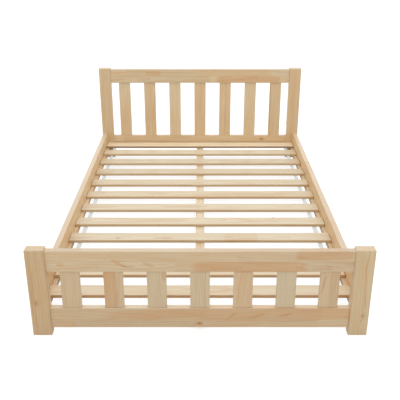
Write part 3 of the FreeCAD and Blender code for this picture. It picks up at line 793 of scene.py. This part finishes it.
# %% Bake a tree on its points
def bake(name, tree, seats, ways=(), sizes=None):
    """What a tree makes on its points, with their ways to face and their sizes, as one plain mesh."""
    points = bpy.data.meshes.new(name + "_seats")
    points.from_pydata(seats, [], [])
    if ways:
        facing = points.attributes.new("way", "FLOAT_VECTOR", "POINT")
        for entry, way in zip(facing.data, ways):
            entry.vector = way
    piece = show(name, points)
    modifier = piece.modifiers.new(tree.name, "NODES")
    modifier.node_group = tree
    sockets = {item.name: item.identifier for item in tree.interface.items_tree if item.in_out == "INPUT"}
    for label, value in (sizes or {}).items():
        modifier[sockets[label]] = value
    graph = bpy.context.evaluated_depsgraph_get()
    baked = bpy.data.meshes.new_from_object(piece.evaluated_get(graph))
    piece.modifiers.remove(modifier)
    piece.data = baked
    print(name, "has", len(baked.polygons), "faces")
    return piece


for node in ("ledger_screws", "joint_plate_screws"):
    places, ways, lengths = zip(*screw_seats(node))
    piece = bake(node + "_driven", screw, list(places), ways, {"Length": lengths[0]})
    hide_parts(node)
    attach(piece, "root")

# %% [markdown]
# ## The tapes under the slats
#
# Slats like these come rolled up. Two woven tapes run along under them, near their ends, and two staples hold
# each tape to every slat, so that the slats unroll at their right spacing. Seen from above, the tapes show as
# pale grey stripes in the gaps. A tape lies flat against each slat and sags a little from one slat to the
# next. Its places come from the boxes of the slats, and its section tapers to an edge at both selvedges.

# %% The run of a tape
tape_width = 20 * MM
tape_thickness = 1.1 * MM
tape_middle = 553 * MM
tape_end = 6 * MM
sag = 1.6 * MM
sag_steps = 8
slat_boxes = [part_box(node) for node in sorted(frame["nodes"]) if node.startswith("bed_slat")]
tape_run = []
for low, high in slat_boxes:
    if tape_run:
        start = tape_run[-1][0]
        for step in range(1, sag_steps):
            share = step / sag_steps
            tape_run.append((start + share * (low.y - start), low.z - 4 * sag * share * (1 - share)))
    inset = 0 if tape_run else tape_end
    last = tape_end if high.y == slat_boxes[-1][1].y else 0
    tape_run += [(low.y + inset, low.z), (high.y - last, low.z)]
print("slats:", len(slat_boxes), "tape from", round(tape_run[0][0], 3), "to", round(tape_run[-1][0], 3), "m")

# %% [markdown]
# The tape is woven in a herringbone: the threads lean one way, then the other, in lanes a few millimetres
# wide. Folding the place across the tape into those lanes and adding it to the place along the tape draws the
# slanting threads. They are polyester, pale and not at all glossy, and the fuzz of broken fibres on it gives
# a faint sheen at its edges.

# %% Woven webbing
webbing, tree = new_material("woven_polyester_webbing")
lane_width = 5 * MM
thread_width = 1.3 * MM
fuzz_size = 0.8 * MM
fuzz_share = 0.4
here = add(tree, "TexCoord")
on_tape = add(tree, "SeparateXYZ", {0: here["Object"]})
lane = add(tree, "Math", {0: on_tape["X"], 1: lane_width}, operation="PINGPONG")
leaning = add(tree, "Math", {0: on_tape["Y"], 1: lane[0]}, operation="ADD")
thread = add(tree, "Math", {0: leaning[0], 1: thread_width / 2}, operation="PINGPONG")
round_thread = {"Value": thread[0], "From Max": thread_width / 2}
thread = add(tree, "MapRange", round_thread, interpolation_type="SMOOTHSTEP")
fuzz = add(tree, "TexNoise", {"Vector": here["Object"], "Scale": 1 / fuzz_size, "Detail": 2.0})
height = add(tree, "Math", {0: fuzz["Fac"], 1: fuzz_share, 2: thread[0]}, operation="MULTIPLY_ADD")
# The colour follows the height: the grooves between the threads are darker as painted shade, and the fuzz
# varies it as well.
shade = add(tree, "MapRange", {"Value": height[0]})
colours = {factor: shade[0], first: linear("B5B9B7"), second: linear("D3D8D8")}
woven = add(tree, "Mix", colours, data_type="RGBA")
raised = add(tree, "Bump", {"Height": height[0], "Strength": 0.6, "Distance": 0.15 * MM})
sockets = {"Base Color": woven[mixed], "Roughness": 0.85, "Normal": raised[0], "IOR": 1.5,
           "Sheen Weight": 0.15, "Sheen Roughness": 0.5}
shader = add(tree, "BsdfPrincipled", sockets)
add(tree, "OutputMaterial", {"Surface": shader[0]})


# %% Weave the two tapes
selvedge = 0.35 * MM


def tape(name, middle):
    """One tape along the run, as a closed strip with tapered selvedges, middle metres across the bed."""
    half, flat = tape_width / 2, tape_width / 2 - selvedge
    bottom, waist = -tape_thickness, -tape_thickness / 2
    section = [(-half, waist), (-flat, 0.0), (flat, 0.0), (half, waist), (flat, bottom), (-flat, bottom)]
    form = bmesh.new()
    rings = []
    for along, top in tape_run:
        rings.append([form.verts.new((middle + across, along, top + down)) for across, down in section])
    for before, after in zip(rings, rings[1:]):
        for corner in range(len(section)):
            beside = (corner + 1) % len(section)
            form.faces.new((before[corner], before[beside], after[beside], after[corner]))
    form.faces.new(rings[0])
    form.faces.new(rings[-1])
    bmesh.ops.recalc_face_normals(form, faces=form.faces)
    mesh = bpy.data.meshes.new(name)
    form.to_mesh(mesh)
    form.free()
    mesh.materials.append(webbing)
    piece = show(name, mesh)
    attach(piece, "root")
    print(name, "has", len(mesh.polygons), "faces")


tape("slat_tape_left", -tape_middle)
tape("slat_tape_right", tape_middle)

# %% [markdown]
# The staples are flat zinc-plated wire, bent into a crown and two legs that go through the tape into the
# slat. There are two for every slat on either tape, so they are made by rule as the screws were: one staple
# from its sizes, and a copy on every point. All of them face one way, so the points need no turn.

# %% The node tree of a staple
staple_sizes = {
    "Seats": None, "Crown": 10 * MM, "Leg length": 6 * MM, "Wire width": 1.2 * MM, "Wire thickness": 0.6 * MM
}
staple, size = new_group("flat_wire_staple", "GeometryNodeTree", staple_sizes, {"Staples": "Geometry"})
thin = size["Wire thickness"]
crown = add(staple, "CombineXYZ", {"X": size["Crown"], "Y": size["Wire width"], "Z": thin})
crown = add(staple, "GeometryNodeMeshCube", {"Size": crown[0]})
down = add(staple, "Math", {0: thin, 1: -0.5}, operation="MULTIPLY")
down = add(staple, "CombineXYZ", {"Z": down[0]})
crown = add(staple, "GeometryNodeTransform", {"Geometry": crown["Mesh"], "Translation": down[0]})
whole = add(staple, "GeometryNodeJoinGeometry")
staple.links.new(crown["Geometry"], whole[0].node.inputs["Geometry"])
apart = add(staple, "Math", {0: size["Crown"], 1: thin}, operation="SUBTRACT")
leg = add(staple, "CombineXYZ", {"X": thin, "Y": size["Wire width"], "Z": size["Leg length"]})
leg = add(staple, "GeometryNodeMeshCube", {"Size": leg[0]})
up = add(staple, "Math", {0: size["Leg length"], 1: 0.5}, operation="MULTIPLY")
for share in (-0.5, 0.5):
    aside = add(staple, "Math", {0: apart[0], 1: share}, operation="MULTIPLY")
    move = add(staple, "CombineXYZ", {"X": aside[0], "Z": up[0]})
    side = add(staple, "GeometryNodeTransform", {"Geometry": leg["Mesh"], "Translation": move[0]})
    staple.links.new(side["Geometry"], whole[0].node.inputs["Geometry"])
end_with_copies(staple, {"Points": size["Seats"], "Instance": whole["Geometry"]}, "Staples")

# %% Drive the staples
staple_gap = 30 * MM
seats = [
    (middle, (low.y + high.y) / 2 + off, low.z - tape_thickness)
    for middle in (-tape_middle, tape_middle)
    for low, high in slat_boxes
    for off in (-staple_gap / 2, staple_gap / 2)
]
staples = bake("tape_staples", staple, seats)
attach(staples, "root")
print("staples:", len(seats))

# %% [markdown]
# ## The camera
#
# The camera stands on the bed's centre line, three metres from its middle and beyond its foot, at shoulder
# height, and looks down by about a quarter of a right angle. A lens of 58 mm on a 36 mm sensor lets the two
# sides of the bed run together gently.

# %% Camera
camera_tilt = 23.753
camera_data = bpy.data.cameras.new("camera")
camera_data.sensor_width = 36.0
camera_data.lens = 58.17
camera = show("camera", camera_data)
camera.location = (0.0, -3.0737, 1.4714)
camera.rotation_euler = (math.radians(90 - camera_tilt), 0, 0)
bpy.context.scene.camera = camera
bpy.context.scene.view_settings.view_transform = "Standard"
print("camera, in metres:", [round(value, 3) for value in camera.location])

# %% [markdown]
# ## The floor
#
# The bed stands on a plain white floor. What it adds to the light and what the camera sees of it are kept
# apart with a Light Path node. Light that bounces meets a matt, pale grey floor, which lifts the undersides a
# little. The camera, reflections and anything seen through glass meet a mostly glowing white one, whose
# small matt share keeps a soft shadow under the bed.


# %% Floor
def background_share(tree):
    """1 for the rays that show the background, which are those of the camera, of gloss and of glass."""
    path = add(tree, "LightPath")
    seen = add(tree, "Math", {0: path["Is Camera Ray"], 1: path["Is Glossy Ray"]}, operation="MAXIMUM")
    seen = {0: seen[0], 1: path["Is Transmission Ray"]}
    return add(tree, "Math", seen, operation="MAXIMUM")[0]


floor_radius = 12.0
floor_mesh = bpy.data.meshes.new("floor")
floor_form = bmesh.new()
bmesh.ops.create_circle(floor_form, cap_ends=True, segments=48, radius=floor_radius)
floor_form.to_mesh(floor_mesh)
floor_form.free()
floor = show("floor", floor_mesh)
material, tree = new_material("matt_white_floor")
plain = add(tree, "BsdfDiffuse", {"Color": (0.52, 0.52, 0.52, 1)})
lit = add(tree, "BsdfDiffuse", {"Color": (0.42, 0.42, 0.42, 1)})
glow = add(tree, "Emission", {"Color": (1, 1, 1, 1), "Strength": 0.73})
glowing = add(tree, "AddShader", {0: lit[0], 1: glow[0]})
both = add(tree, "MixShader", {0: background_share(tree), 1: plain[0], 2: glowing[0]})
add(tree, "OutputMaterial", {"Surface": both[0]})
floor_mesh.materials.append(material)
print("floor radius, in metres:", floor_radius)

# %% [markdown]
# ## The light
#
# Soft light from all round gives furniture on white its calm look. The world is that light, a plain white
# just under strength 1. Three broad softboxes shape it a little: one overhead, so that the top faces are
# brighter than the fronts, one in front for the headboard, and one behind, which grazes the top faces and
# puts a pale gloss on their lacquer. None of them is in the picture.

# %% World and softboxes
world = bpy.data.worlds.new("studio")
bpy.context.scene.world = world
world.use_nodes = True
tree = world.node_tree
tree.nodes.clear()
strength = add(tree, "MapRange", {"Value": background_share(tree), "To Min": 0.97, "To Max": 1.0})
air = add(tree, "Background", {"Color": (1, 1, 1, 1), "Strength": strength[0]})
add(tree, "OutputWorld", {"Surface": air[0]})


def softbox(name, place, aim, size, watts):
    """A rectangular softbox that shines from a place towards a point, and isn't seen itself."""
    data = bpy.data.lights.new(name, "AREA")
    data.shape = "RECTANGLE"
    data.size, data.size_y = size
    data.energy = watts
    box = show(name, data)
    box.location = place
    box.rotation_euler = (Vector(aim) - box.location).to_track_quat("-Z", "Y").to_euler()
    box.visible_camera = False
    print(name, watts, "W at", place)


softbox("softbox_overhead", (0, 0.1, 3.0), (0, 0.1, 0), (2.0, 1.6), 29)
softbox("softbox_front", (0, -2.8, 2.4), (0, 0.9, 0.3), (2.0, 1.2), 13)
softbox("softbox_behind", (0, 4.5, 2.4), (0, 0, 0.1), (4.5, 2.6), 12)
